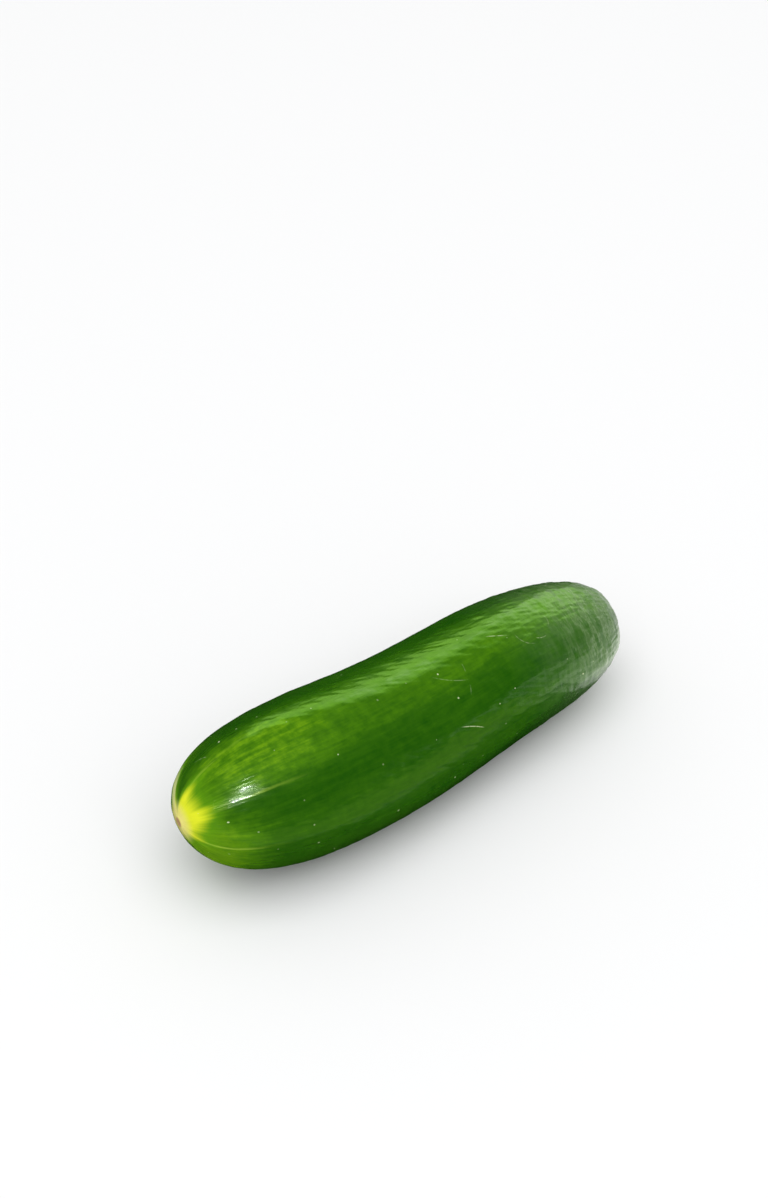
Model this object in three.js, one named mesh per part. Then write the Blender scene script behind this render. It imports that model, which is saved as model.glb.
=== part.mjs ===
// A short, smooth-skinned cucumber, picked and lying on a table.
// Millimetres, +Z up. +X runs from the blossom end to the stem end, and the blossom end bends towards +Y.
// The origin is under the middle of the fruit's box, on the table.
// A cucumber grows as one piece, so it is one closed solid: a round body swept along a bent axis,
// with its ribs, its shallow dents and the scars at its two ends raised from the skin by a formula.

import * as THREE from "three";
import { ParametricGeometry } from "three/addons/geometries/ParametricGeometry.js";
import { mergeVertices } from "three/addons/utils/BufferGeometryUtils.js";

// Driving dimensions
const LENGTH = 122.5; // between the ends of the axis, along X
const DIAMETER = 35; // at mid-length, in the hollows between the ribs
const STEM_TAPER = 0.13; // share of the radius lost from mid-length to the stem end, and gained at the other
const BEND = 2; // how far the ends lie off the line of the middle
const SWAY = 4.4; // how much more than that the blossom end bends, and how much less the stem end

// Ends: a higher fullness keeps the girth further out, and a higher bluntness squares the tip
const BLOSSOM_END = { fullness: 4, bluntness: 2.2 };
const STEM_END = { fullness: 5, bluntness: 2.6 };
const NOSE_LEAN = 0.13; // how much further out the blossom end stands on its +Y side, for each mm across
const NOSE_LEAN_ONSET = 8; // a higher one keeps the lean closer to the tip

// Ribs along the fruit
const RIB_COUNT = 8;
const RIB_HEIGHT = 0.42; // of a sharp crest over the hollow beside it
const RIB_ROUNDING = 0.14; // how blunt the crests are, as a share of the way from a crest to a hollow
const RIB_PHASE = THREE.MathUtils.degToRad(93); // a crest's mean angle round the fruit, from +Y over the top

// Waves over the skin: turns round the fruit, radians from mid-length to an end, phase, and size.
// The first list strays the crests from straight lines and even spacing, in radians: they bow up over the
// middle. The second is the shallow dents.
const RIB_STRAY = [
  { turns: 0, along: 4.4, phase: -0.5 * Math.PI, size: 0.157 },
  { turns: 1, along: 0, phase: 1.36, size: 0.05 },
];
const DENTS = [
  { turns: 2, along: 3.1, phase: 0.6, size: 0.17 },
  { turns: 3, along: -4.4, phase: 2.2, size: 0.15 },
  { turns: 1, along: 6.5, phase: -1.0, size: 0.11 },
];

// Scars: the corky dot where the flower sat, and the dished break where the stem came off
const BLOSSOM_SCAR = { radius: 1.4, height: 0.3, steepness: 4, dimpleRadius: 0.6, dimpleDepth: 0.35 };
const STEM_SCAR = { radius: 2.9, depth: 0.9, steepness: 8, rimRadius: 3.9, rimHeight: 0.3, rimWidth: 0.9 };

// Lie: the underside lifts a little towards the ends, and is pressed flat under the weight
const UNDERSIDE_RISE = 0.8; // from mid-length to an end
const REST_DEPTH = 0.25; // how much the skin is pressed flat where the fruit lies

const SKIN_GREEN = 0x356f12;

// Facets round the fruit and along it
const FACETS_ROUND = 80;
const FACETS_ALONG = 62;
const END_CROWDING = 0.55; // how much closer the rows stand at the tips than at mid-length
const JOIN_DISTANCE = 1e-3; // corners nearer than this are one corner

const UP = new THREE.Vector3(0, 0, 1);
const DOWNWARDS = 1.5 * Math.PI; // the angle of the underside
const halfLength = LENGTH / 2;
const radiusAtMiddle = DIAMETER / 2;

// The row's place along the fruit, from -1 at the blossom end to 1 at the stem end.
function placeAlong(share) {
  const eased = share - (END_CROWDING * Math.sin(2 * Math.PI * share)) / (2 * Math.PI);
  return -Math.cos(Math.PI * eased);
}

function sumOfWaves(waves, place, angle) {
  return waves.reduce(
    (sum, { turns, along, phase, size }) => sum + size * Math.sin(turns * angle + along * place + phase),
    0,
  );
}

// Height of the ribs over the hollows between them. From a crest to a hollow, offCrest runs from 0 to 1.
function ribs(place, angle) {
  const turned = angle - RIB_PHASE + sumOfWaves(RIB_STRAY, place, angle);
  const offCrest = Math.acos(Math.cos(RIB_COUNT * turned)) / Math.PI;
  return RIB_HEIGHT * Math.max(0, 1 - Math.hypot(offCrest, RIB_ROUNDING)) ** 2;
}

// The skin's distance from the axis, before the ends close it.
function girth(place, angle) {
  return radiusAtMiddle * (1 - STEM_TAPER * place) + ribs(place, angle) + sumOfWaves(DENTS, place, angle);
}

// How far the ends have closed the body: 1 in the middle, 0 at a tip.
function closing(place) {
  const { fullness, bluntness } = place < 0 ? BLOSSOM_END : STEM_END;
  return Math.max(0, 1 - Math.abs(place) ** fullness) ** (1 / bluntness);
}

// How far the blossom scar stands out along the axis: a low button with a dimple.
function blossomScar(fromAxis) {
  const { radius, height, steepness, dimpleRadius, dimpleDepth } = BLOSSOM_SCAR;
  const button = height * Math.exp(-((fromAxis / radius) ** steepness));
  return button - dimpleDepth * Math.exp(-((fromAxis / dimpleRadius) ** 2));
}

// How far the stem scar stands out along the axis: a dish in a low rim.
function stemScar(fromAxis) {
  const { radius, depth, steepness, rimRadius, rimHeight, rimWidth } = STEM_SCAR;
  const dish = depth / (1 + (fromAxis / radius) ** steepness);
  return rimHeight * Math.exp(-(((fromAxis - rimRadius) / rimWidth) ** 2)) - dish;
}

// A point of the axis, which runs as high above the table as the underside is deep.
function axisPoint(place) {
  return new THREE.Vector3(
    halfLength * place,
    BEND * place ** 2 - SWAY * place ** 3,
    girth(place, DOWNWARDS) + UNDERSIDE_RISE * place ** 2,
  );
}

function axisDirection(place) {
  const slope = (2 * BEND * place - 3 * SWAY * place ** 2) / halfLength;
  return new THREE.Vector3(1, slope, 0).normalize();
}

// How far the lean of the blossom end moves the skin along the axis, by its distance out to the +Y side.
function lean(place, out) {
  return place < 0 ? -NOSE_LEAN * out * Math.abs(place) ** NOSE_LEAN_ONSET : 0;
}

// A point of the skin. The angle runs round the axis from +Y over the top.
function skinPoint(place, angle) {
  const fromAxis = closing(place) * girth(place, angle);
  const along = axisDirection(place);
  const sideways = new THREE.Vector3(-along.y, along.x, 0);
  const out = fromAxis * Math.cos(angle);
  const scar = place < 0 ? -blossomScar(fromAxis) : stemScar(fromAxis);
  return axisPoint(place)
    .addScaledVector(sideways, out)
    .addScaledVector(UP, fromAxis * Math.sin(angle))
    .addScaledVector(along, scar + lean(place, out));
}

// The skin as a closed surface: the seam and the tips are joined, and the collapsed facets there dropped.
function skinGeometry() {
  const surface = new ParametricGeometry(
    (round, along, target) => target.copy(skinPoint(placeAlong(along), 2 * Math.PI * round)),
    FACETS_ROUND,
    FACETS_ALONG,
  );
  surface.deleteAttribute("normal");
  surface.deleteAttribute("uv");
  const joined = mergeVertices(surface, JOIN_DISTANCE);
  const corners = joined.index.array;
  const kept = [];
  for (let i = 0; i < corners.length; i += 3) {
    const [a, b, c] = corners.slice(i, i + 3);
    if (a !== b && b !== c && c !== a) kept.push(a, b, c);
  }
  joined.setIndex(kept);
  return joined;
}

// Moves the fruit to stand on the table over the origin, and presses its lowest skin flat there.
function layOnTable(geometry) {
  geometry.computeBoundingBox();
  const { min, max } = geometry.boundingBox;
  geometry.translate(-(min.x + max.x) / 2, -(min.y + max.y) / 2, -(min.z + REST_DEPTH));
  const points = geometry.attributes.position;
  for (let i = 0; i < points.count; i += 1) points.setZ(i, Math.max(0, points.getZ(i)));
  geometry.computeVertexNormals();
  return geometry;
}

const fruit = new THREE.Mesh(
  layOnTable(skinGeometry()),
  new THREE.MeshStandardMaterial({ color: SKIN_GREEN, roughness: 0.32, metalness: 0 }),
);
fruit.name = "cucumber";

const cucumber = new THREE.Group();
cucumber.add(fruit);

export default cucumber;
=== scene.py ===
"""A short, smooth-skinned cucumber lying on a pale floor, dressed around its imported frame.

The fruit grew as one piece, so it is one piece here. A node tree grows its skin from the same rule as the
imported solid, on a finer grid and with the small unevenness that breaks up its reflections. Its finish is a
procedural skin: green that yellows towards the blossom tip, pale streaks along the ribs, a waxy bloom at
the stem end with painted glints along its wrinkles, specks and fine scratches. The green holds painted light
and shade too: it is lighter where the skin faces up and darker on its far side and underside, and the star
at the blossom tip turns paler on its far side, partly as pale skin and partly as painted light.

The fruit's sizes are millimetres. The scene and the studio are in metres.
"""

import logging
import math
from collections.abc import Callable, Sequence
from dataclasses import dataclass
from enum import Enum

import bpy
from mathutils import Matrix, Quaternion, Vector


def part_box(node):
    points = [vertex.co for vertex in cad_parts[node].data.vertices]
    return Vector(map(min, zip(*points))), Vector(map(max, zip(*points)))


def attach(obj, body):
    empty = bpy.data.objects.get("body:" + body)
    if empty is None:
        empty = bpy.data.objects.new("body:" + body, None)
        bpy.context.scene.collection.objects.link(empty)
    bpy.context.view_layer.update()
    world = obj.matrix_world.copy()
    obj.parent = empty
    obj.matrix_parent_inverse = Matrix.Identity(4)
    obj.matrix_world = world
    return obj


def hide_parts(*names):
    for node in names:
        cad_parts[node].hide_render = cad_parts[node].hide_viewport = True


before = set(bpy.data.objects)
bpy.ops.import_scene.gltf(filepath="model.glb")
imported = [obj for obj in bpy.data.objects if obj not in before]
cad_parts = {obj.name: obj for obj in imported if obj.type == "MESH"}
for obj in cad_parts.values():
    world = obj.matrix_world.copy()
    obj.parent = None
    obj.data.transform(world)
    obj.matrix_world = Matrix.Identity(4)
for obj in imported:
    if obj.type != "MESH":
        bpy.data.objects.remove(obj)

Colour = tuple[float, float, float, float]
Tint = tuple[float, float, float]
Span = tuple[float, float]
Outline = Sequence[tuple[float, float]]

NODE = "cucumber"
BODY = "root"
METRES = 0.001  # in one millimetre
DOWNWARDS = 1.5 * math.pi  # the angle of the underside
DARK: Colour = (0.015, 0.045, 0.006, 1.0)
SOFT_GREEN: Colour = (0.36, 0.54, 0.10, 1.0)
SILVER: Colour = (0.90, 0.92, 0.86, 1.0)
WHITE: Colour = (1.0, 1.0, 1.0, 1.0)
DAYLIGHT: Tint = (1.2, 1.0, 1.5)
SUNLIGHT: Tint = (1.3, 1.1, 0.8)
LEAFLIGHT: Tint = (0.62, 1.0, 0.25)
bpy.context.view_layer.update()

log = logging.getLogger("cucumber")


class Tip(Enum):
    """The two ends of the fruit, by their place along it."""

    BLOSSOM = -1.0
    STEM = 1.0


class Grain(Enum):
    """The way a pattern is drawn out on the skin: how much longer it is along the fruit than round it."""

    LENGTHWISE = 6.0
    EVEN = 1.0
    CROSSWISE = 0.3


class Wire:
    """A value on its way between two nodes. Arithmetic on it adds Math nodes to its board."""

    def __init__(self, board: "Board", socket: bpy.types.NodeSocket) -> None:
        """Keeps the board and the output socket that the value comes from."""
        self.board = board
        self.socket = socket

    def __add__(self, other: "Value") -> "Wire":
        """This value plus another."""
        return self.board.math("ADD", self, other)

    def __sub__(self, other: "Value") -> "Wire":
        """This value less another."""
        return self.board.math("SUBTRACT", self, other)

    def __rsub__(self, other: "Value") -> "Wire":
        """Another value less this one."""
        return self.board.math("SUBTRACT", other, self)

    def __mul__(self, other: "Value") -> "Wire":
        """This value times another."""
        return self.board.math("MULTIPLY", self, other)

    def __truediv__(self, other: "Value") -> "Wire":
        """This value over another."""
        return self.board.math("DIVIDE", self, other)

    def __rtruediv__(self, other: "Value") -> "Wire":
        """Another value over this one."""
        return self.board.math("DIVIDE", other, self)

    def __pow__(self, other: "Value") -> "Wire":
        """This value to a power."""
        return self.board.math("POWER", self, other)


Value = float | Wire


class Board:
    """A node tree, with short ways to add nodes to it. It serves shape trees and finish trees alike."""

    def __init__(self, tree: bpy.types.NodeTree) -> None:
        """Keeps the tree that the nodes go into."""
        self.tree = tree

    def feed(self, socket: bpy.types.NodeSocket, value: object) -> None:
        """Links a wire to an input socket, or sets a plain value on it.

        Args:
            socket: The input socket.
            value: A wire, or a value that the socket takes.
        """
        if isinstance(value, Wire):
            self.tree.links.new(value.socket, socket)
        else:
            socket.default_value = value

    def add(self, kind: str, inputs: dict | None = None, **settings: object) -> bpy.types.Node:
        """Adds a node.

        Args:
            kind: Blender's name for the node's type.
            inputs: Wires or values for its input sockets, by name or number.
            settings: Values for the node's own properties.

        Returns:
            The new node.
        """
        node = self.tree.nodes.new(kind)
        for name, value in settings.items():
            setattr(node, name, value)
        for key, value in (inputs or {}).items():
            self.feed(node.inputs[key], value)
        return node

    def out(self, kind: str, output: str | int, inputs: dict | None = None, **settings: object) -> Wire:
        """Adds a node as add() does, and returns the wire from one of its outputs."""
        return Wire(self, self.add(kind, inputs, **settings).outputs[output])

    def math(self, operation: str, *values: Value) -> Wire:
        """Adds a Math node on one or more values."""
        return self.out("ShaderNodeMath", 0, dict(enumerate(values)), operation=operation)

    def sine(self, angle: Value) -> Wire:
        """The sine of an angle in radians."""
        return self.math("SINE", angle)

    def cosine(self, angle: Value) -> Wire:
        """The cosine of an angle in radians."""
        return self.math("COSINE", angle)

    def larger(self, first: Value, second: Value) -> Wire:
        """The larger of two values."""
        return self.math("MAXIMUM", first, second)

    def bell(self, share: Wire, steepness: float = 2.0) -> Wire:
        """A bell that is 1 where the share is 0, and has fallen to 1/e where it is 1."""
        return self.math("EXPONENT", self.math("ABSOLUTE", share) ** steepness * -1.0)

    def ease(self, value: Value, low: float, high: float) -> Wire:
        """A smooth step.

        Args:
            value: The value that it follows.
            low: Where the step is 0.
            high: Where it is 1. If this is below low, the step falls instead of rising.

        Returns:
            The step's value, from 0 to 1.
        """
        inputs = {"Value": value, "From Min": min(low, high), "From Max": max(low, high)}
        step = self.out("ShaderNodeMapRange", "Result", inputs, interpolation_type="SMOOTHSTEP")
        return step if low < high else 1.0 - step

    def vector(self, x: Value, y: Value, z: Value) -> Wire:
        """A vector of three values."""
        return self.out("ShaderNodeCombineXYZ", 0, {0: x, 1: y, 2: z})

    def parts(self, vector: Wire) -> tuple[Wire, ...]:
        """The three values of a vector."""
        split = self.add("ShaderNodeSeparateXYZ", {0: vector})
        return tuple(Wire(self, socket) for socket in split.outputs)

    def vector_math(self, operation: str, *values: object) -> Wire:
        """Adds a Vector Math node on one or more vectors, with a vector as its result."""
        return self.out("ShaderNodeVectorMath", "Vector", dict(enumerate(values)), operation=operation)

    def scaled(self, vector: Wire, share: Value) -> Wire:
        """A vector times a number."""
        inputs = {"Vector": vector, "Scale": share}
        return self.out("ShaderNodeVectorMath", "Vector", inputs, operation="SCALE")

    def reach(self, start: Wire, end: Wire) -> Wire:
        """The distance between two points."""
        return self.out("ShaderNodeVectorMath", "Value", {0: start, 1: end}, operation="DISTANCE")

    def noise(self, where: Wire, scale: Value, detail: Value = 2.0, roughness: Value = 0.5) -> Wire:
        """Soft noise with a middle of 0.

        Args:
            where: The point that it is read at.
            scale: How many blotches there are in a unit of length.
            detail: How many finer layers it has.
            roughness: How much the finer layers count.

        Returns:
            The noise's value, mostly from -0.6 to 0.6.
        """
        inputs = {"Vector": where, "Scale": scale, "Detail": detail, "Roughness": roughness}
        return self.out("ShaderNodeTexNoise", 0, inputs, noise_dimensions="3D") * 2.0 - 1.0

    def mix(self, share: Value, first: object, second: object) -> Wire:
        """A colour between two others.

        Args:
            share: 0 for the first colour, 1 for the second.
            first: A colour or a wire.
            second: A colour or a wire.

        Returns:
            The mixed colour.
        """
        node = self.add("ShaderNodeMix", data_type="RGBA", clamp_factor=True)
        self.feed(node.inputs[0], share)
        self.feed(node.inputs[6], first)
        self.feed(node.inputs[7], second)
        return Wire(self, node.outputs[2])

    def own(self, name: str, output: str = "Fac") -> Wire:
        """Reads one of the piece's own attributes in a finish."""
        return self.out("ShaderNodeAttribute", output, attribute_name=name)

    def doors(self, values: dict[str, float], in_out: str = "INPUT") -> dict[str, str]:
        """Adds number sockets to the tree's own interface.

        Args:
            values: Their names and usual values.
            in_out: INPUT or OUTPUT.

        Returns:
            Each socket's identifier, by its name.
        """
        made = {}
        for name, value in values.items():
            socket = self.tree.interface.new_socket(name, in_out=in_out, socket_type="NodeSocketFloat")
            socket.default_value = value
            made[name] = socket.identifier
        return made

    def use(self, effect: bpy.types.NodeTree, **inputs: Value) -> Wire:
        """Adds a shared effect, and returns the wire from its output."""
        return self.out("ShaderNodeGroup", 0, dict(inputs), node_tree=effect)


Sizes = dict[str, Wire]


def effect(name: str, inputs: dict[str, float], draw: Callable[[Board, Sizes], Wire]) -> bpy.types.NodeTree:
    """Makes a shared effect: a group with named inputs and one output, for any finish to use.

    Args:
        name: The group's name.
        inputs: The names of its inputs, with their usual values.
        draw: A function that adds its nodes and returns its result.

    Returns:
        The group.
    """
    tree = bpy.data.node_groups.new(name, "ShaderNodeTree")
    board = Board(tree)
    board.doors(inputs)
    board.doors({"Value": 0.0}, "OUTPUT")
    source = board.add("NodeGroupInput")
    result = draw(board, {key: Wire(board, source.outputs[key]) for key in inputs})
    board.add("NodeGroupOutput", {"Value": result})
    return tree


@dataclass(frozen=True)
class Wave:
    """A wave over the skin: turns round the fruit, radians from mid-length to an end, phase and size."""

    turns: float
    along: float
    phase: float
    size: float


@dataclass(frozen=True)
class End:
    """How an end closes: fullness keeps the girth further out, and bluntness squares the tip."""

    fullness: float
    bluntness: float


@dataclass(frozen=True)
class BlossomScar:
    """The corky dot where the flower sat: a low button with a dimple."""

    radius: float = 1.4
    height: float = 0.3
    steepness: float = 4.0
    dimple_radius: float = 0.6
    dimple_depth: float = 0.35


@dataclass(frozen=True)
class StemScar:
    """The dished break where the stem came off, in a low rim."""

    radius: float = 2.9
    depth: float = 0.9
    steepness: float = 8.0
    rim_radius: float = 3.9
    rim_height: float = 0.3
    rim_width: float = 0.9


@dataclass(frozen=True)
class Relief:
    """The small unevenness of the skin, which breaks up its reflections.

    Lengths are millimetres, and the slant is in radians from mid-length to an end. A span is two places
    along the fruit: where a pattern begins, and where it is full.
    """

    bump_height: float = 0.07
    bump_radius: float = 1.3
    bump_spacing: float = 6.5
    bump_density: float = 0.02
    bump_seed: int = 7
    patch_scale: float = 0.09
    patch_edge: Span = (-0.2, 0.2)
    swell_height: float = 0.08
    swell_size: float = 5.5
    ripple_height: float = 0.11
    ripple_size: float = 1.1
    ripple_slant: float = -1.7
    ripple_span: Span = (-0.95, -0.6)
    crease_height: float = 0.27
    crease_size: float = 5.2
    crease_span: Span = (0.3, 0.8)
    groove_height: float = 0.17
    groove_size: float = 1.5
    groove_span: Span = (0.1, 0.6)
    tip_span: Span = (0.9999, 0.985)


@dataclass
class Fruit:
    """The cucumber: its sizes, and the tree that grows its skin.

    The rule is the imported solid's: a round body swept along a bent axis, with ribs, shallow dents and two
    scars. Place runs from -1 at the blossom tip to 1 at the stem tip, and the angle from +Y over the top.
    """

    length: float = 122.5
    diameter: float = 35.0
    stem_taper: float = 0.13
    bend: float = 2.0
    sway: float = 4.4
    nose_lean: float = 0.13
    nose_lean_onset: float = 8.0
    rib_count: int = 8
    rib_height: float = 0.42
    rib_phase: float = math.radians(93)
    rib_rounding: float = 0.14
    underside_rise: float = 0.8
    rest_depth: float = 0.25
    rows_round: int = 300
    rows_along: int = 320
    middle_crowding: float = 0.25
    join_distance: float = 1e-4
    blossom_end: End = End(4.0, 2.2)
    stem_end: End = End(5.0, 2.6)
    blossom_scar: BlossomScar = BlossomScar()
    stem_scar: StemScar = StemScar()
    rib_stray: Sequence[Wave] = (Wave(0, 4.4, -0.5 * math.pi, 0.157), Wave(1, 0, 1.36, 0.05))
    dents: Sequence[Wave] = (Wave(2, 3.1, 0.6, 0.17), Wave(3, -4.4, 2.2, 0.15), Wave(1, 6.5, -1.0, 0.11))
    relief: Relief = Relief()

    def _waves(self, board: Board, waves: Sequence[Wave], place: Value, angle: Value) -> Value:
        """The sum of some waves at a place and an angle.

        Args:
            board: The tree that the nodes go into.
            waves: The waves.
            place: The place along the fruit.
            angle: The angle round it.

        Returns:
            The sum.
        """
        total: Value = 0.0
        for wave in waves:
            turned = place * wave.along + angle * wave.turns + wave.phase
            sine = board.sine(turned) if isinstance(turned, Wire) else math.sin(turned)
            total = sine * wave.size + total
        return total

    def _off_crest(self, board: Board, place: Value, angle: Value) -> Wire:
        """How far a point is from the nearest rib's crest: 0 on a crest, 1 midway between two."""
        turned = self._waves(board, self.rib_stray, place, angle) + (angle - self.rib_phase)
        return board.math("ARCCOSINE", board.cosine(turned * self.rib_count)) / math.pi

    def _girth(self, board: Board, size: Sizes, place: Value, angle: Value) -> Wire:
        """The skin's distance from the axis, before the ends close it.

        Args:
            board: The tree that the nodes go into.
            size: The tree's named sizes.
            place: The place along the fruit.
            angle: The angle round it.

        Returns:
            The distance in millimetres.
        """
        body = size["Diameter"] * 0.5 * (1.0 - size["Stem Taper"] * place)
        off_crest = self._off_crest(board, place, angle)
        rounded = board.math("SQRT", off_crest * off_crest + self.rib_rounding ** 2)
        ribs = board.larger(1.0 - rounded, 0.0) ** 2.0 * size["Rib Height"]
        return body + ribs + self._waves(board, self.dents, place, angle)

    def _closing(self, board: Board, place: Wire) -> Wire:
        """How far the ends have closed the body.

        Args:
            board: The tree that the nodes go into.
            place: The place along the fruit.

        Returns:
            1 in the middle, 0 at a tip.
        """
        on_stem_half = board.math("GREATER_THAN", place, 0.0)
        far = board.math("ABSOLUTE", place)
        shares = []
        for end in (self.blossom_end, self.stem_end):
            left = board.larger(1.0 - far ** end.fullness, 0.0)
            shares.append(left ** (1.0 / end.bluntness))
        return shares[0] + on_stem_half * (shares[1] - shares[0])

    def _scar(self, board: Board, place: Wire, from_axis: Wire) -> Wire:
        """How far the scars push the skin towards the stem end.

        Args:
            board: The tree that the nodes go into.
            place: The place along the fruit.
            from_axis: The skin's distance from the axis there.

        Returns:
            The push in millimetres.
        """
        flower, stalk = self.blossom_scar, self.stem_scar
        button = board.bell(from_axis / flower.radius, flower.steepness) * flower.height
        dimple = board.bell(from_axis / flower.dimple_radius) * flower.dimple_depth
        dish = stalk.depth / ((from_axis / stalk.radius) ** stalk.steepness + 1.0)
        rim = board.bell((from_axis - stalk.rim_radius) / stalk.rim_width) * stalk.rim_height
        on_stem_half = board.math("GREATER_THAN", place, 0.0)
        blossom = dimple - button
        return blossom + on_stem_half * (rim - dish - blossom)

    def _axis(self, board: Board, size: Sizes, place: Value) -> Wire:
        """A point of the axis, which runs as high above the floor as the underside is deep.

        Args:
            board: The tree that the nodes go into.
            size: The tree's named sizes.
            place: The place along the fruit.

        Returns:
            The point in millimetres.
        """
        square = place * place
        depth = self._girth(board, size, place, DOWNWARDS)
        sideways = size["Bend"] * square - size["Sway"] * (square * place)
        return board.vector(size["Length"] * 0.5 * place, sideways, depth + size["Underside Rise"] * square)

    def _along(self, board: Board, size: Sizes, place: Wire) -> Wire:
        """The direction of the axis at a place, towards the stem end."""
        rise = size["Bend"] * (place * 2.0) - size["Sway"] * (place * place * 3.0)
        return board.vector_math("NORMALIZE", board.vector(1.0, rise / (size["Length"] * 0.5), 0.0))

    def _sizes(self) -> dict[str, float]:
        """Lists the tree's named inputs.

        Returns:
            Their values, by name.
        """
        return {
            "Length": self.length,
            "Diameter": self.diameter,
            "Stem Taper": self.stem_taper,
            "Bend": self.bend,
            "Sway": self.sway,
            "Nose Lean": self.nose_lean,
            "Rib Height": self.rib_height,
            "Underside Rise": self.underside_rise,
            "Rest Depth": self.rest_depth,
            "Bump Height": self.relief.bump_height,
            "Bump Radius": self.relief.bump_radius,
            "Swell Height": self.relief.swell_height,
            "Ripple Height": self.relief.ripple_height,
            "Crease Height": self.relief.crease_height,
            "Groove Height": self.relief.groove_height,
        }

    def _store(self, board: Board, mesh: Wire, name: str, value: Wire, kind: str = "FLOAT") -> Wire:
        """Keeps a value as an attribute of the points, for the finish to read."""
        inputs = {"Geometry": mesh, "Name": name, "Value": value}
        return board.out("GeometryNodeStoreNamedAttribute", 0, inputs, data_type=kind, domain="POINT")

    def _kept(self, board: Board, name: str, kind: str = "FLOAT") -> Wire:
        """Reads a kept attribute again, further on in the tree."""
        return board.out("GeometryNodeInputNamedAttribute", 0, {"Name": name}, data_type=kind)

    def _sweep(self, board: Board, size: Sizes) -> Wire:
        """Bends a grid round the axis, and joins its seam and its tips.

        Args:
            board: The tree that the nodes go into.
            size: The tree's named sizes.

        Returns:
            The closed skin in millimetres, with its place, round and off_crest attributes.
        """
        counts = {"Vertices X": self.rows_round + 1, "Vertices Y": self.rows_along + 1}
        mesh = board.out("GeometryNodeMeshGrid", "Mesh", {"Size X": 1.0, "Size Y": 1.0, **counts})
        across, up, _ = board.parts(board.out("GeometryNodeInputPosition", 0))
        angle = (across + 0.5) * (2.0 * math.pi) - 0.5 * math.pi
        row = up + 0.5
        eased = row + board.sine(row * (2.0 * math.pi)) * (self.middle_crowding / (2.0 * math.pi))
        place = board.cosine(eased * math.pi) * -1.0
        circle = board.vector(board.cosine(angle), board.sine(angle), 0.0)
        mesh = self._store(board, mesh, "place", place)
        mesh = self._store(board, mesh, "round", circle, "FLOAT_VECTOR")
        mesh = self._store(board, mesh, "off_crest", self._off_crest(board, place, angle))
        place = self._kept(board, "place")
        from_axis = self._closing(board, place) * self._girth(board, size, place, angle)
        along = self._along(board, size, place)
        ahead_x, ahead_y, _ = board.parts(along)
        out = from_axis * board.cosine(angle)
        from_centre = board.vector(ahead_y * -1.0 * out, ahead_x * out, from_axis * board.sine(angle))
        lean = board.math("ABSOLUTE", place) ** self.nose_lean_onset * size["Nose Lean"] * out
        lean = lean * board.math("LESS_THAN", place, 0.0)
        push = board.scaled(along, self._scar(board, place, from_axis) - lean)
        point = board.vector_math("ADD", self._axis(board, size, place), from_centre)
        point = board.vector_math("ADD", point, push)
        mesh = board.out("GeometryNodeSetPosition", 0, {"Geometry": mesh, "Position": point})
        inputs = {"Geometry": mesh, "Distance": self.join_distance}
        return board.out("GeometryNodeMergeByDistance", 0, inputs)

    def _patterned(self, board: Board, size_mm: float, grain: Grain, slant: float = 0.0) -> Wire:
        """A point for a pattern to be read at, drawn out by a grain and without a seam.

        Args:
            board: The tree that the nodes go into.
            size_mm: The size of the pattern's blotches round the fruit.
            grain: The way that they are drawn out.
            slant: Radians that the pattern winds round the fruit from mid-length to an end.

        Returns:
            The point, in blotches.
        """
        place = self._kept(board, "place")
        inputs = {"Vector": self._kept(board, "round", "FLOAT_VECTOR"), "Angle": place * slant}
        circle = board.out("ShaderNodeVectorRotate", 0, inputs, rotation_type="Z_AXIS")
        ring = board.scaled(circle, 0.5 * self.diameter / size_mm)
        run = board.vector(0.0, 0.0, place * (0.5 * self.length / (size_mm * grain.value)))
        return board.vector_math("ADD", ring, run)

    def _uneven(self, board: Board, size: Sizes, mesh: Wire) -> Wire:
        """Adds the low bumps, the swells and slanting ripples, and the creases and grooves of the stem end.

        Args:
            board: The tree that the nodes go into.
            size: The tree's named sizes.
            mesh: The closed skin.

        Returns:
            The uneven skin.
        """
        relief = self.relief
        place = self._kept(board, "place")
        points = board.out("GeometryNodeDistributePointsOnFaces", "Points", {
            "Mesh": mesh,
            "Distance Min": relief.bump_spacing,
            "Density Max": relief.bump_density,
            "Seed": relief.bump_seed,
        }, distribute_method="POISSON")
        nearest = board.out("GeometryNodeProximity", "Distance", {0: points}, target_element="POINTS")
        here = board.out("GeometryNodeInputPosition", 0)
        patchy = board.ease(board.noise(here, relief.patch_scale), *relief.patch_edge)
        bumps = board.bell(nearest / size["Bump Radius"]) * size["Bump Height"] * patchy
        swells = board.noise(self._patterned(board, relief.swell_size, Grain.EVEN), 1.0, 1.0)
        slanting = self._patterned(board, relief.ripple_size, Grain.LENGTHWISE, relief.ripple_slant)
        ripples = board.noise(slanting, 1.0, 2.0) * board.ease(place, *relief.ripple_span)
        rings = board.noise(self._patterned(board, relief.crease_size, Grain.CROSSWISE), 1.0, 3.0, 0.6)
        creases = rings * board.ease(place, *relief.crease_span)
        grooves = board.noise(self._patterned(board, relief.groove_size, Grain.LENGTHWISE), 1.0, 2.0)
        grooves = grooves * board.ease(place, *relief.groove_span)
        height = bumps + swells * size["Swell Height"] + ripples * size["Ripple Height"]
        height = height + creases * size["Crease Height"] + grooves * size["Groove Height"]
        off_tips = board.ease(board.math("ABSOLUTE", place), *relief.tip_span)
        offset = board.scaled(board.out("GeometryNodeInputNormal", 0), height * off_tips)
        return board.out("GeometryNodeSetPosition", 0, {"Geometry": mesh, "Offset": offset})

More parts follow.
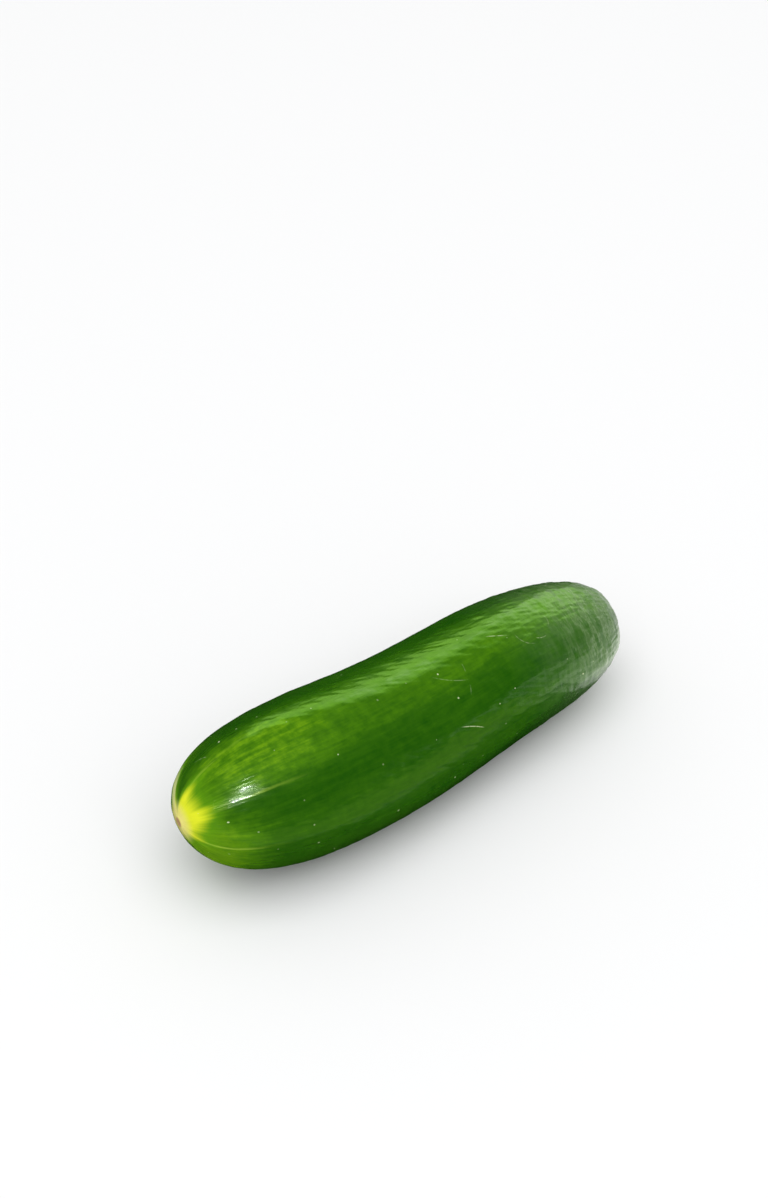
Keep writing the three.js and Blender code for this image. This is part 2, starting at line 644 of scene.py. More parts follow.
    def _mark_tips(self, board: Board, size: Sizes, mesh: Wire) -> Wire:
        """Keeps how far each point is from each tip.

        Args:
            board: The tree that the nodes go into.
            size: The tree's named sizes.
            mesh: The closed skin.

        Returns:
            The skin with an attribute for each tip.
        """
        here = board.out("GeometryNodeInputPosition", 0)
        for tip in Tip:
            point = self._axis(board, size, tip.value)
            mesh = self._store(board, mesh, f"from_{tip.name.lower()}", board.reach(here, point))
        return mesh

    def _lay_down(self, board: Board, size: Sizes, mesh: Wire) -> Wire:
        """Centres the fruit over the origin, presses its lowest skin flat and turns it to metres.

        Args:
            board: The tree that the nodes go into.
            size: The tree's named sizes.
            mesh: The skin in millimetres.

        Returns:
            The skin in metres, at rest.
        """
        box = board.add("GeometryNodeBoundBox", {"Geometry": mesh})
        low, high = Wire(board, box.outputs["Min"]), Wire(board, box.outputs["Max"])
        middle_x, middle_y, _ = board.parts(board.scaled(board.vector_math("ADD", low, high), -0.5))
        lowest = board.parts(low)[2]
        moved = board.vector(middle_x, middle_y, (lowest + size["Rest Depth"]) * -1.0)
        mesh = board.out("GeometryNodeSetPosition", 0, {"Geometry": mesh, "Offset": moved})
        x, y, z = board.parts(board.out("GeometryNodeInputPosition", 0))
        pressed = board.vector(x * METRES, y * METRES, board.larger(z, 0.0) * METRES)
        return board.out("GeometryNodeSetPosition", 0, {"Geometry": mesh, "Position": pressed})

    def tree(self, finish: bpy.types.Material) -> tuple[bpy.types.NodeTree, dict[str, str]]:
        """Makes the tree that grows the skin.

        Args:
            finish: The material that the tree gives the skin.

        Returns:
            The tree, and the identifiers of its inputs by name.
        """
        tree = bpy.data.node_groups.new("grow cucumber", "GeometryNodeTree")
        board = Board(tree)
        tree.interface.new_socket("Geometry", in_out="INPUT", socket_type="NodeSocketGeometry")
        tree.interface.new_socket("Geometry", in_out="OUTPUT", socket_type="NodeSocketGeometry")
        doors = board.doors(self._sizes())
        source = board.add("NodeGroupInput")
        size = {name: Wire(board, source.outputs[name]) for name in doors}
        mesh = self._sweep(board, size)
        mesh = self._mark_tips(board, size, mesh)
        mesh = self._uneven(board, size, mesh)
        mesh = self._lay_down(board, size, mesh)
        mesh = board.out("GeometryNodeSetShadeSmooth", 0, {"Geometry": mesh})
        mesh = board.out("GeometryNodeRealizeInstances", 0, {"Geometry": mesh})
        mesh = board.out("GeometryNodeSetMaterial", 0, {"Geometry": mesh, "Material": finish})
        board.add("NodeGroupOutput", {0: mesh})
        return tree, doors

    def build(self, finish: bpy.types.Material) -> bpy.types.Object:
        """Grows the fruit as a plain mesh and sets it in place of its CAD node.

        Args:
            finish: The skin's material.

        Returns:
            The finished piece.
        """
        tree, doors = self.tree(finish)
        seed = bpy.data.objects.new("cucumber_seed", bpy.data.meshes.new("cucumber_seed"))
        bpy.context.scene.collection.objects.link(seed)
        modifier = seed.modifiers.new("grow", "NODES")
        modifier.node_group = tree
        for name, value in self._sizes().items():
            modifier[doors[name]] = value
        grown = seed.evaluated_get(bpy.context.evaluated_depsgraph_get())
        mesh = bpy.data.meshes.new_from_object(grown)
        seed.modifiers.remove(modifier)
        bpy.data.objects.remove(seed)
        mesh.name = "cucumber_skin"
        piece = bpy.data.objects.new("cucumber_skin", mesh)
        bpy.context.scene.collection.objects.link(piece)
        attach(piece, BODY)
        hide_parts(NODE)
        return piece


@dataclass(frozen=True)
class Scratch:
    """A fine pale scratch. Lengths are millimetres, along from mid-length and across from the top line.

    The turn is in degrees from the fruit's length, the curve is how far its ends lie off its middle, and the
    strength is the share of the skin's colour that it covers.
    """

    along: float
    across: float
    length: float
    turn: float
    curve: float
    strength: float = 0.2


@dataclass(frozen=True)
class Tones:
    """How light the green is over the skin, from 0 for the deepest to 1 for the sunniest.

    A band is two shares of how far the skin faces a way, and a span is two places along the fruit: where a
    tone begins, and where it is full. The top tone is painted light, and the far side and under tones are
    painted shade: the green is lighter where the skin faces up, and darker on its far side and underside.
    """

    base: float = 0.21
    mid_stop: float = 0.36
    leaf_stop: float = 0.66
    sun_top: float = 0.990
    sun_side: float = -0.139
    # Painted light: how much lighter the green is where the skin faces up.
    top: float = 0.30
    top_band: Span = (0.80, 1.0)
    sunny: float = 0.27
    sunny_band: Span = (0.78, 1.0)
    sunny_span: Span = (-0.25, -0.75)
    sunny_end: Span = (-0.97, -0.82)
    nose: float = 0.66
    nose_span: Span = (-0.7, -0.93)
    nose_top: float = 0.60
    nose_top_band: Span = (0.4, 0.95)
    # Painted shade: how much darker the green is on the far upper side.
    far_side_shade: float = 0.10
    far_side_band: Span = (0.12, 0.45)
    far_top_band: Span = (0.2, 0.7)
    # Painted shade: how much darker the green is on the underside.
    under_shade: float = 0.2
    under_band: Span = (0.2, -0.15)
    under_span: Span = (-0.4, 0.3)


@dataclass(frozen=True)
class RibLines:
    """The pale lines along the crests: broken ones, and clear ones nearer to the blossom tip.

    An edge is two shares of the way from a crest to a hollow, and a reach is two distances from the tip in
    millimetres: where a line begins, and where it is full.
    """

    edge: Span = (0.10, 0.02)
    gaps: Span = (-0.15, 0.35)
    reach: Span = (36.0, 10.0)
    share: float = 0.5
    clear_edge: Span = (0.08, 0.02)
    clear_reach: Span = (17.0, 9.0)
    clear_share: float = 0.35


@dataclass(frozen=True)
class Star:
    """The star at the blossom tip. Lengths are millimetres.

    It leans to the side that it faces. One ray runs far along a rib, and the star is cut short beside that
    ray and towards the underside. Its far side turns paler, partly as pale skin and partly as painted light.
    Bands are as in Tones, and edges and reaches as in RibLines.
    """

    facing_top: float = 0.82
    facing_side: float = -0.57
    lean: float = 5.0
    shift: float = 2.6
    ray_length: float = 2.3
    ray_edge: Span = (0.75, 0.05)
    ray_unevenness: float = 1.5
    long_ray_length: float = 5.0
    long_ray_side: float = 0.74
    long_ray_width: float = 0.2
    long_ray_edge: Span = (0.8, 0.2)
    dip_depth: float = 5.0
    dip_side: float = 0.30
    dip_width: float = 0.18
    under_depth: float = 1.5
    under_band: Span = (0.45, 0.0)
    pale_band: Span = (0.4, 0.7)
    fringe_reach: Span = (13.0, 5.0)
    fringe_share: float = 0.65
    yellow_reach: Span = (8.6, 3.0)
    heart_reach: Span = (6.0, 1.8)
    heart_share: float = 0.85
    dot_reach: Span = (1.5, 0.9)


@dataclass(frozen=True)
class StemBloom:
    """The stem end's grey bloom, with painted glints on its wrinkles. Spans are places along the fruit."""

    span: Span = (0.3, 0.95)
    patches: Span = (-0.7, 0.5)
    share: float = 0.65
    wrinkle_level: float = 0.08
    wrinkle_width: float = 0.05
    wrinkle_span: Span = (0.55, 0.85)
    wrinkle_end: Span = (0.975, 0.93)
    wrinkle_share: float = 0.3


@dataclass(frozen=True)
class StemBreak:
    """The dry break where the stem came off. Reaches are distances from the stem tip in millimetres."""

    reach: Span = (4.5, 3.8)
    dull_reach: Span = (4.6, 3.8)
    fraying: float = 0.5
    fibre_edge: Span = (-0.35, 0.3)
    heart_reach: Span = (2.0, 1.1)
    heart_share: float = 0.7
    rim_radius: float = 3.2
    rim_width: float = 0.5
    rim_share: float = 0.75


@dataclass(frozen=True)
class SkinFinish:
    """The waxy green skin. Colours are linear, and lengths are millimetres."""

    deep_green: Colour = (0.009, 0.074, 0.0012, 1.0)
    mid_green: Colour = (0.026, 0.115, 0.0018, 1.0)
    leaf_green: Colour = (0.060, 0.190, 0.0022, 1.0)
    sun_green: Colour = (0.150, 0.330, 0.0040, 1.0)
    star_fringe: Colour = (0.160, 0.420, 0.006, 1.0)
    star_yellow: Colour = (0.800, 0.850, 0.022, 1.0)
    star_heart: Colour = (0.980, 0.870, 0.280, 1.0)
    # Partly pale skin, partly painted light: the colour of the star's far side.
    pale_lit_side: Colour = (0.620, 0.680, 0.270, 1.0)
    rib_line: Colour = (0.420, 0.620, 0.060, 1.0)
    cork: Colour = (0.560, 0.360, 0.170, 1.0)
    old_cork: Colour = (0.230, 0.150, 0.060, 1.0)
    stem_heart: Colour = (0.420, 0.430, 0.200, 1.0)
    bloom: Colour = (0.135, 0.215, 0.085, 1.0)
    # Painted glints: the pale lines along the stem end's wrinkles.
    wrinkle_glint: Colour = (0.300, 0.400, 0.220, 1.0)
    fleck: Colour = (0.680, 0.760, 0.450, 1.0)
    tint: Colour = (0.65, 1.0, 0.40, 1.0)
    roughness: float = 0.19
    cloud_roughness: float = 0.04
    bloom_roughness: float = 0.14
    break_roughness: float = 0.35
    skin_ior: float = 1.46
    wax: float = 0.22
    wax_roughness: float = 0.12
    wax_ior: float = 1.45
    pore_height: float = 0.003
    hatch_height: float = 0.012
    stem_hatch_height: float = 0.025
    stroke_height: float = 0.018
    comb_height: float = 0.045
    fleck_height: float = 0.02
    tones: Tones = Tones()
    rib_lines: RibLines = RibLines()
    star: Star = Star()
    stem_bloom: StemBloom = StemBloom()
    stem_break: StemBreak = StemBreak()
    half_length: float = 61.25
    radius: float = 17.0
    speck_spacing: float = 6.0
    speck_radius: float = 0.19
    speck_crowding: float = 0.6
    speck_rarity: float = 0.68
    speck_edge: Span = (1.2, 0.6)
    speck_share: float = 0.8
    scratch_width: float = 0.08
    scratches: Sequence[Scratch] = (
        Scratch(5.3, 19.3, 7.5, 27.0, 0.3, 0.85),
        Scratch(5.6, 7.8, 9.7, 30.0, -0.6),
        Scratch(8.7, 11.8, 2.6, 119.0, 0.1),
        Scratch(10.5, 6.7, 2.4, 103.0, 0.1),
        Scratch(28.2, 8.4, 6.4, 55.0, -1.35, 0.3),
        Scratch(33.0, 9.6, 3.3, 13.0, -0.4, 0.5),
        Scratch(37.6, 6.1, 3.9, 100.0, 0.75),
        Scratch(23.4, 3.8, 6.2, 26.0, 0.1, 0.6),
        Scratch(-53.4, -5.9, 3.9, 49.0, 0.2, 0.35),
        Scratch(-8.0, -24.0, 9.0, 15.0, 0.9, 0.3),
        Scratch(22.0, -31.0, 7.0, 40.0, -0.7, 0.4),
    )

    def _grain(self) -> bpy.types.NodeTree:
        """Makes the effect that draws a noise out along the skin or across it, without a seam.

        Returns:
            The group.
        """
        inputs = {"Around": 5.0, "Along": 5.0, "Detail": 2.0, "Roughness": 0.5}

        def draw(board: Board, size: Sizes) -> Wire:
            """Reads the noise on a ring of the fruit's girth.

            Args:
                board: The effect's tree.
                size: The effect's inputs.

            Returns:
                The noise.
            """
            ring = board.scaled(board.own("round", "Vector"), self.radius / size["Around"])
            run = board.own("place") * self.half_length / size["Along"]
            where = board.vector_math("ADD", ring, board.vector(0.0, 0.0, run))
            return board.noise(where, 1.0, size["Detail"], size["Roughness"])

        return effect("skin grain", inputs, draw)

    def _across(self, board: Board) -> Wire:
        """How far a point is from the top line, round the skin, with its seam along the underside."""
        side, top, _ = board.parts(board.own("round", "Vector"))
        return board.math("ARCTAN2", side * -1.0, top) * self.radius

    def _specks(self) -> bpy.types.NodeTree:
        """Makes the effect that masks tiny pale specks, far apart and of uneven size.

        Returns:
            The group.
        """

        def draw(board: Board, size: Sizes) -> Wire:
            """Picks some of the cells of a pattern on the unrolled skin, and marks their middles.

            Args:
                board: The effect's tree.
                size: The effect's inputs.

            Returns:
                The mask, from 0 to 1.
            """
            flat = board.vector(self._across(board), board.own("place") * self.half_length, 0.0)
            spot = board.add("ShaderNodeTexVoronoi", {
                "Vector": flat,
                "Scale": 1.0 / size["Spacing"],
                "Randomness": 1.0,
            }, voronoi_dimensions="2D")
            near = Wire(board, spot.outputs["Distance"]) * size["Spacing"]
            chance, own_size, bright = board.parts(Wire(board, spot.outputs["Color"]))
            crowd = board.noise(flat, 0.05, 1.0)
            chosen = board.math("GREATER_THAN", chance + crowd * self.speck_crowding, self.speck_rarity)
            strength = bright * bright * 0.75 + 0.25
            share = near / (own_size * 0.8 + 0.6) / size["Radius"]
            return chosen * strength * board.ease(share, *self.speck_edge)

        return effect("specks", {"Spacing": self.speck_spacing, "Radius": self.speck_radius}, draw)

    def _scratched(self) -> bpy.types.NodeTree:
        """Makes the effect that masks the fine scratches.

        Returns:
            The group.
        """

        def draw(board: Board, size: Sizes) -> Wire:
            """Marks each scratch on the unrolled skin, as a thin bent line that fades at its ends.

            Args:
                board: The effect's tree.
                size: The effect's inputs.

            Returns:
                The mask, from 0 to 1.
            """
            along = board.own("place") * self.half_length
            across = self._across(board)
            broken = board.ease(board.noise(board.vector(across, along, 0.0), 1.1, 1.0), -0.3, 0.1)
            mask: Value = 0.0
            for line in self.scratches:
                turn = math.radians(line.turn)
                run, rise = along - line.along, across - line.across
                ahead = (run * math.cos(turn) + rise * math.sin(turn)) / (0.5 * line.length)
                aside = rise * math.cos(turn) - run * math.sin(turn) - ahead * ahead * line.curve
                inside = board.ease(board.math("ABSOLUTE", ahead), 1.0, 0.5)
                mask = board.larger(mask, board.bell(aside / size["Width"]) * inside * line.strength)
            return mask * (broken * 0.75 + 0.25)

        return effect("scratches", {"Width": self.scratch_width}, draw)

    def _green(self, board: Board, grain: bpy.types.NodeTree) -> Wire:
        """The skin's green, from deep on the lower side to sunny near the blossom shoulder.

        Part of it is painted light and shade: it is lighter where the skin faces up, and darker on its far
        side and its underside.

        Args:
            board: The material's tree.
            grain: The grain effect.

        Returns:
            The colour.
        """
        tones = self.tones
        place = board.own("place")
        side, top, _ = board.parts(board.own("round", "Vector"))
        broad = board.use(grain, Around=7.0, Along=26.0, Detail=3.0)
        fine = board.use(grain, Around=1.1, Along=6.0, Detail=3.0, Roughness=0.6)
        mottle = board.use(grain, Around=2.6, Along=2.0, Detail=3.0, Roughness=0.6)
        hairs = board.use(grain, Around=0.5, Along=7.0, Detail=2.0)
        upward = top * tones.sun_top + side * tones.sun_side
        # Painted light: the green is lighter where the skin faces up.
        tone = board.ease(upward, *tones.top_band) * tones.top + tones.base
        sunny = board.ease(upward, *tones.sunny_band) * board.ease(place, *tones.sunny_span)
        sunny = sunny * board.ease(place, *tones.sunny_end)
        tone = tone + sunny * (fine * 0.25 + mottle * 0.15 + tones.sunny)
        nose = tones.nose - board.ease(upward, *tones.nose_top_band) * tones.nose_top
        tone = tone + board.ease(place, *tones.nose_span) * nose
        # Painted shade: the green is darker on the far upper side.
        far_side_shade = board.ease(side, *tones.far_side_band) * board.ease(top, *tones.far_top_band)
        tone = tone - far_side_shade * tones.far_side_shade
        # Painted shade: the green is darker on the underside, most towards the stem end.
        under_shade = board.ease(upward, *tones.under_band) * board.ease(place, *tones.under_span)
        tone = tone - under_shade * tones.under_shade
        tone = tone + broad * 0.20 + fine * 0.22 + mottle * 0.22 + hairs * 0.12
        ramp = board.add("ShaderNodeValToRGB", {"Fac": tone})
        stops = ramp.color_ramp.elements
        stops[0].color = self.deep_green
        stops[1].color = self.sun_green
        stops.new(tones.mid_stop).color = self.mid_green
        stops.new(tones.leaf_stop).color = self.leaf_green
        return Wire(board, ramp.outputs["Color"])

    def _star(self, board: Board, streaky: Wire, colour: Wire) -> Wire:
        """Adds the yellow star at the blossom tip, with rays along the ribs, and the corky dot in it.

        Args:
            board: The material's tree.
            streaky: A noise drawn out along the fruit.
            colour: The skin's colour so far.

        Returns:
            The colour with the star.
        """
        star = self.star
        off_crest = board.own("off_crest")
        from_blossom = board.own("from_blossom")
        side, top, _ = board.parts(board.own("round", "Vector"))
        facing = top * star.facing_top + side * star.facing_side
        rays = board.ease(off_crest, *star.ray_edge) * star.ray_length + streaky * star.ray_unevenness
        long_ray = board.bell((side - star.long_ray_side) / star.long_ray_width)
        long_ray = long_ray * board.ease(off_crest, *star.long_ray_edge) * star.long_ray_length
        dips = board.bell((side - star.dip_side) / star.dip_width) * star.dip_depth
        dips = dips + board.ease(top, *star.under_band) * star.under_depth
        glow = from_blossom + star.shift - facing * star.lean - rays - long_ray + dips
        # The far side of the star turns paler: partly pale skin, partly painted light.
        yellow = board.mix(board.ease(side, *star.pale_band), self.star_yellow, self.pale_lit_side)
        fringe = board.ease(glow, *star.fringe_reach) * star.fringe_share
        colour = board.mix(fringe, colour, self.star_fringe)
        colour = board.mix(board.ease(glow, *star.yellow_reach), colour, yellow)
        heart = board.ease(from_blossom, *star.heart_reach) * star.heart_share
        colour = board.mix(heart, colour, self.star_heart)
        return board.mix(board.ease(from_blossom, *star.dot_reach), colour, self.cork)

    def _break(self, board: Board, grain: bpy.types.NodeTree, colour: Wire) -> Wire:
        """Adds the dry break where the stem came off: fibres that run in to a pale heart, in a dark rim.

        Args:
            board: The material's tree.
            grain: The grain effect.
            colour: The skin's colour so far.

        Returns:
            The colour with the break.
        """
        scar = self.stem_break
        fibres = board.use(grain, Around=1.6, Along=40.0, Detail=2.0)
        from_stem = board.own("from_stem") + fibres * scar.fraying
        dry = board.mix(board.ease(fibres, *scar.fibre_edge), self.old_cork, self.cork)
        dry = board.mix(board.ease(from_stem, *scar.heart_reach) * scar.heart_share, dry, self.stem_heart)
        rim = board.bell((from_stem - scar.rim_radius) / scar.rim_width)
        dry = board.mix(rim * scar.rim_share, dry, self.old_cork)
        return board.mix(board.ease(from_stem, *scar.reach), colour, dry)

    def _colour(self, board: Board, grain: bpy.types.NodeTree, flecks: Wire) -> Wire:
        """The skin's colour: its greens, the yellow star, the scars, the bloom and the flecks.

        Args:
            board: The material's tree.
            grain: The grain effect.
            flecks: A mask of the specks and scratches.

        Returns:
            The colour.
        """
        lines, bloom = self.rib_lines, self.stem_bloom
        place = board.own("place")
        off_crest = board.own("off_crest")
        from_blossom = board.own("from_blossom")
        streaky = board.use(grain, Around=1.6, Along=14.0, Detail=2.0)
        colour = self._green(board, grain)
        line = board.ease(off_crest, *lines.edge) * board.ease(streaky, *lines.gaps)
        line = line * board.ease(from_blossom, *lines.reach)
        clear = board.ease(off_crest, *lines.clear_edge) * board.ease(from_blossom, *lines.clear_reach)
        line = line * lines.share + clear * lines.clear_share
        colour = board.mix(line, colour, self.rib_line)
        colour = self._star(board, streaky, colour)
        rings = board.use(grain, Around=7.0, Along=1.4, Detail=4.0, Roughness=0.65)
        hazy = board.ease(place, *bloom.span) * board.ease(rings, *bloom.patches)
        colour = board.mix(hazy * bloom.share, colour, self.bloom)
        # Painted glints: pale lines along the fine wrinkles of the stem end.
        wrinkle = board.bell((rings - bloom.wrinkle_level) / bloom.wrinkle_width)
        wrinkle = wrinkle * board.ease(place, *bloom.wrinkle_span)
        wrinkle = wrinkle * board.ease(place, *bloom.wrinkle_end)
        colour = board.mix(wrinkle * bloom.wrinkle_share, colour, self.wrinkle_glint)
        colour = self._break(board, grain, colour)
        return board.mix(flecks, colour, self.fleck)

    def material(self) -> bpy.types.Material:
        """Makes the skin's material.

        Returns:
            The material.
        """
        material = bpy.data.materials.new("waxy green skin")
        material.use_nodes = True
        board = Board(material.node_tree)
        shader = material.node_tree.nodes["Principled BSDF"]
        grain = self._grain()
        specks = board.use(self._specks(), Spacing=self.speck_spacing, Radius=self.speck_radius)
        scratches = board.use(self._scratched(), Width=self.scratch_width)
        flecks = board.larger(specks * self.speck_share, scratches)
        board.feed(shader.inputs["Base Color"], self._colour(board, grain, flecks))
        cloudy = board.use(grain, Around=3.0, Along=3.0, Detail=3.0)
        haze = board.ease(board.own("place"), 0.25, 0.95)
        dry = board.ease(board.own("from_stem"), *self.stem_break.dull_reach)
        rough = cloudy * self.cloud_roughness + haze * self.bloom_roughness + dry * self.break_roughness
        board.feed(shader.inputs["Roughness"], rough + self.roughness)
        shader.inputs["IOR"].default_value = self.skin_ior
        shader.inputs["Specular Tint"].default_value = self.tint
        shader.inputs["Coat Weight"].default_value = self.wax
        shader.inputs["Coat Roughness"].default_value = self.wax_roughness
        shader.inputs["Coat IOR"].default_value = self.wax_ior
        pores = board.use(grain, Around=0.35, Along=0.35, Detail=2.0)
        hatch = board.use(grain, Around=2.2, Along=0.7, Detail=3.0, Roughness=0.6)
        strokes = board.use(grain, Around=0.6, Along=4.0, Detail=2.0)
        comb = board.use(grain, Around=1.3, Along=22.0, Detail=1.0)
        comb = comb * board.ease(board.own("place"), -0.5, -0.8)
        height = pores * self.pore_height + hatch * (haze * self.stem_hatch_height + self.hatch_height)
        height = height + strokes * self.stroke_height + flecks * self.fleck_height
        height = height + comb * self.comb_height
        inputs = {"Height": height, "Strength": 1.0, "Distance": METRES}
        board.feed(shader.inputs["Normal"], board.out("ShaderNodeBump", "Normal", inputs))
        return material


def direction(azimuth: float, elevation: float) -> Vector:
    """The way from the fruit to a viewer or a light.

    Args:
        azimuth: Degrees round the fruit: 0 is on its -Y side, 90 on its +X side.
        elevation: Degrees above the floor.

    Returns:
        A unit vector.
    """
    turn, lift = math.radians(azimuth), math.radians(elevation)
    return Vector((math.sin(turn) * math.cos(lift), -math.cos(turn) * math.cos(lift), math.sin(lift)))


class Duty(Enum):
    """What a light does: whether it lights the scene, and whether it shows in the skin's reflections."""

    FILL = (True, False)
    SHINE = (False, True)


@dataclass(frozen=True)
class SoftBox:
    """A soft rectangular light that faces the fruit. Sizes are metres, and the roll is in degrees."""

    name: str
    duty: Duty
    azimuth: float
    elevation: float
    distance: float
    width: float
    height: float
    radiance: float
    tint: Tint = (1.0, 1.0, 1.0)
    roll: float = 0.0

    def build(self, target: Vector) -> bpy.types.Object:
        """Makes the light.

        Args:
            target: The point that it faces.

        Returns:
            The light's object.
        """
        lamp = bpy.data.lights.new(self.name, "AREA")
        lamp.shape = "RECTANGLE"
        lamp.size = self.width
        lamp.size_y = self.height
        lamp.energy = self.radiance * math.pi * self.width * self.height
        lamp.color = self.tint
        light = bpy.data.objects.new(self.name, lamp)
        bpy.context.scene.collection.objects.link(light)
        away = direction(self.azimuth, self.elevation)
        light.location = target + away * self.distance
        aim = (-away).to_track_quat("-Z", "Y") @ Quaternion((0.0, 0.0, 1.0), math.radians(self.roll))
        light.rotation_euler = aim.to_euler()
        light.visible_diffuse, light.visible_glossy = self.duty.value
        return light


@dataclass(frozen=True)
class Card:
    """A flat sheet that lies on the ground: its corners, its colour and its glow."""

    outline: Outline
    colour: Colour
    glow: float = 0.0


@dataclass
class Studio:
    """The pale floor and its cards, the soft lights and the camera.

    Sizes are metres, but for the camera's sensor, which is in millimetres.
    """

    view_azimuth: float = -41.3
    view_elevation: float = 44.0
    view_distance: float = 0.6
    picture: tuple[int, int] = (768, 1198)
    fruit_pixel: tuple[float, float] = (409.0, 716.0)
    pixels_per_metre: float = 4350.0
    sensor: float = 36.0
    clip: Span = (0.01, 50.0)
    floor_colour: Colour = (0.85, 0.853, 0.856, 1.0)
    floor_size: float = 12.0
    room_light: float = 0.70
    sheet_roughness: float = 0.8
    card_height: float = 0.0006
    card_step: float = 0.0001
    cards: Sequence[Card] = (
        Card((
            (-5.9, -0.042), (0.025, -0.042), (0.04, -0.05), (0.063, -0.05), (0.053, -0.034), (0.048, -0.02),
            (0.066, 0.0), (0.10, 0.045), (5.9, 2.75), (5.9, 5.9), (-5.9, 5.9),
        ), DARK),
        Card(((-5.9, -0.115), (-5.9, -5.9), (3.0, -5.9), (0.12, -0.115)), DARK),
        Card((
            (-5.9, -0.114), (0.12, -0.114), (0.10, -0.098), (0.054, -0.061), (0.06, -0.051), (0.04, -0.051),
            (0.025, -0.043), (-5.9, -0.043),
        ), SOFT_GREEN),
        Card((
            (0.064, -0.049), (0.075, -0.057), (0.09, -0.035), (0.086, 0.0), (0.069, -0.005), (0.061, -0.014),
            (0.054, -0.020), (0.056, -0.034),
        ), SILVER, 0.9),
        Card(((0.056, -0.061), (0.098, -0.095), (0.08, -0.062), (0.065, -0.053)), SILVER, 0.8),
    )
    lights: Sequence[SoftBox] = (
        SoftBox("back panel", Duty.SHINE, 132.0, 36.5, 0.9, 0.9, 0.44, 2.6, LEAFLIGHT),
        SoftBox("side panel", Duty.SHINE, 118.0, 21.0, 0.9, 0.46, 0.56, 1.2),
        SoftBox("low panel", Duty.SHINE, 80.0, 22.0, 0.9, 0.56, 0.60, 0.58),
        SoftBox("stem window", Duty.SHINE, 96.0, 14.0, 0.9, 0.40, 0.08, 3.0),
        SoftBox("front window", Duty.SHINE, -54.0, 47.0, 0.9, 0.38, 0.045, 110.0, DAYLIGHT, 35.0),
        SoftBox("front rail", Duty.SHINE, -62.0, 44.5, 0.9, 1.1, 0.035, 12.0, SUNLIGHT, 35.0),
        SoftBox("high window", Duty.SHINE, -57.0, 64.0, 0.9, 0.16, 0.02, 120.0, DAYLIGHT, 41.0),
        SoftBox("high rail", Duty.SHINE, -62.0, 64.0, 0.9, 0.40, 0.025, 7.0, SUNLIGHT, 41.0),
        SoftBox("overhead fill", Duty.FILL, -30.0, 72.0, 2.5, 3.2, 3.2, 1.5),
    )

    def camera(self, target: Vector) -> bpy.types.Object:
        """Makes the camera, so that the target is seen at its pixel.

        Args:
            target: The middle of the fruit.

        Returns:
            The camera's object.
        """
        wide, tall = self.picture
        data = bpy.data.cameras.new("camera")
        data.sensor_width = self.sensor
        data.lens = self.sensor * self.pixels_per_metre * self.view_distance / max(wide, tall)
        data.clip_start, data.clip_end = self.clip
        camera = bpy.data.objects.new("camera", data)
        bpy.context.scene.collection.objects.link(camera)
        away = direction(self.view_azimuth, self.view_elevation)
        camera.location = target + away * self.view_distance
        aim = (-away).to_track_quat("-Z", "Y")
        right = aim @ Vector((1.0, 0.0, 0.0))
        up = aim @ Vector((0.0, 1.0, 0.0))
        across = (self.fruit_pixel[0] - wide / 2) / self.pixels_per_metre
        down = (self.fruit_pixel[1] - tall / 2) / self.pixels_per_metre
        seen = target - right * across + up * down
        camera.rotation_euler = (seen - camera.location).to_track_quat("-Z", "Y").to_euler()
        bpy.context.scene.camera = camera
        return camera

    def _sheet(self, name: str, card: Card, height: float) -> bpy.types.Object:
        """Makes a flat matte sheet that is part of the stage.

        Args:
            name: The sheet's name.
            card: Its corners, its colour and its glow.
            height: Its height above the ground.

        Returns:
            The sheet's object.
        """
        corners = [(x, y, height) for x, y in card.outline]
        mesh = bpy.data.meshes.new(name)
        mesh.from_pydata(corners, [], [range(len(corners))])
        sheet = bpy.data.objects.new(name, mesh)
        bpy.context.scene.collection.objects.link(sheet)
        material = bpy.data.materials.new(name)
        material.use_nodes = True
        shader = material.node_tree.nodes["Principled BSDF"]
        shader.inputs["Base Color"].default_value = card.colour
        shader.inputs["Emission Color"].default_value = card.colour
        shader.inputs["Emission Strength"].default_value = card.glow
        shader.inputs["Roughness"].default_value = self.sheet_roughness
        shader.inputs["Specular IOR Level"].default_value = 0.0
        mesh.materials.append(material)
        return sheet

    def floor(self) -> bpy.types.Object:
        """Makes the floor, a wide pale sheet that the fruit lies on.

        Returns:
            The floor's object.
        """
        half = self.floor_size / 2
        outline = ((-half, -half), (half, -half), (half, half), (-half, half))
        return self._sheet("floor", Card(outline, self.floor_colour), 0.0)

    def shade(self) -> None:
        """Makes the cards that only reflections see.

        The dark and green ones keep the floor's glare off the skin, and the silver ones light the stem end.
        """
        for number, card in enumerate(self.cards):
            sheet = self._sheet(f"shade_card_{number}", card, self.card_height + self.card_step * number)
            sheet.visible_camera = False
            sheet.visible_diffuse = False
            sheet.visible_shadow = False

    def room(self) -> bpy.types.World:
        """Makes the white room, which lights the scene but doesn't show in the skin's reflections.

        Returns:
            The world.
        """
        world = bpy.data.worlds.new("white room")
        world.use_nodes = True
        background = world.node_tree.nodes["Background"]
        background.inputs["Color"].default_value = WHITE
        background.inputs["Strength"].default_value = self.room_light
        bpy.context.scene.world = world
        world.cycles_visibility.glossy = False
        return world

    def build(self, target: Vector) -> None:
        """Makes the whole studio round a target.

        Args:
            target: The middle of the fruit.
        """
        self.camera(target)
        self.floor()
        self.shade()
        self.room()
        for light in self.lights:
            light.build(target)
        settings = bpy.context.scene.view_settings
        settings.view_transform = "Standard"
        settings.look = "None"


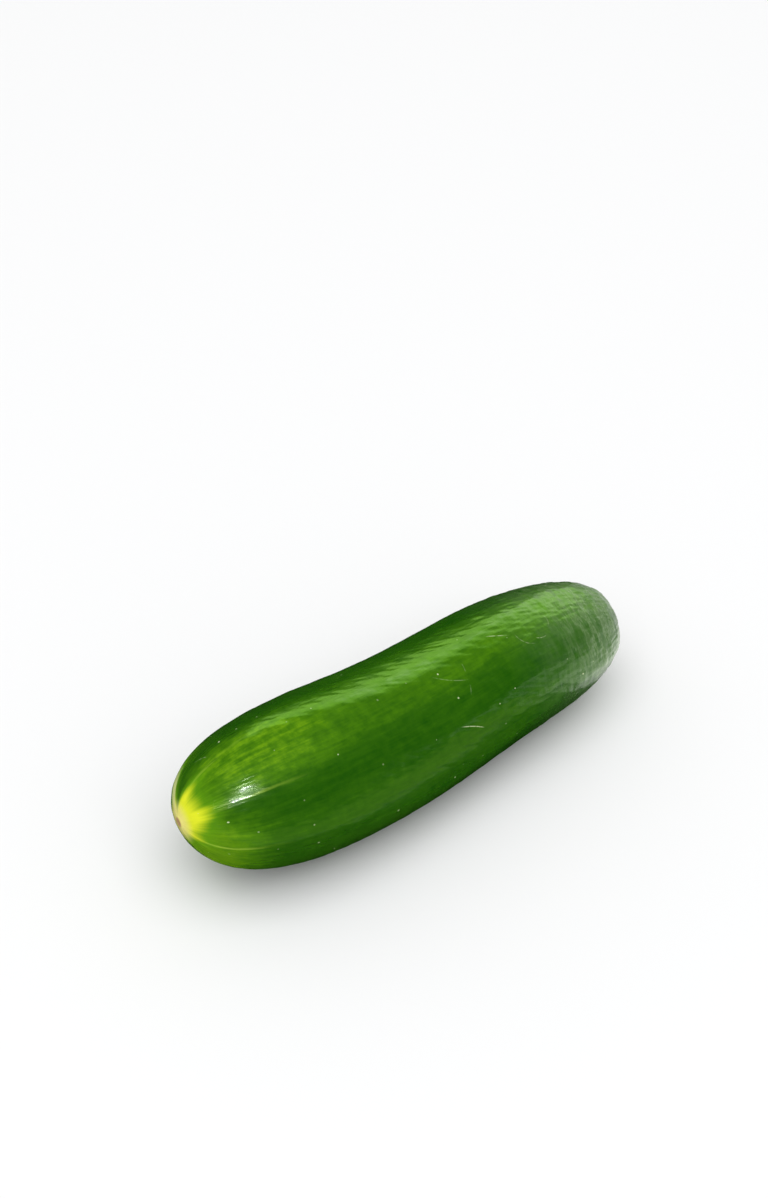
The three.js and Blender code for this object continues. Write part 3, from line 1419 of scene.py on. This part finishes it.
def main() -> None:
    """Builds the fruit and the studio, and reports each piece."""
    logging.basicConfig(level=logging.INFO, format="%(name)s: %(message)s")
    low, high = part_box(NODE)
    fruit = Fruit().build(SkinFinish().material())
    log.info("%s: %d faces", fruit.name, len(fruit.data.polygons))
    Studio().build((low + high) / 2)
    log.info("studio: camera, floor and lights")


if __name__ == "__main__":
    main()
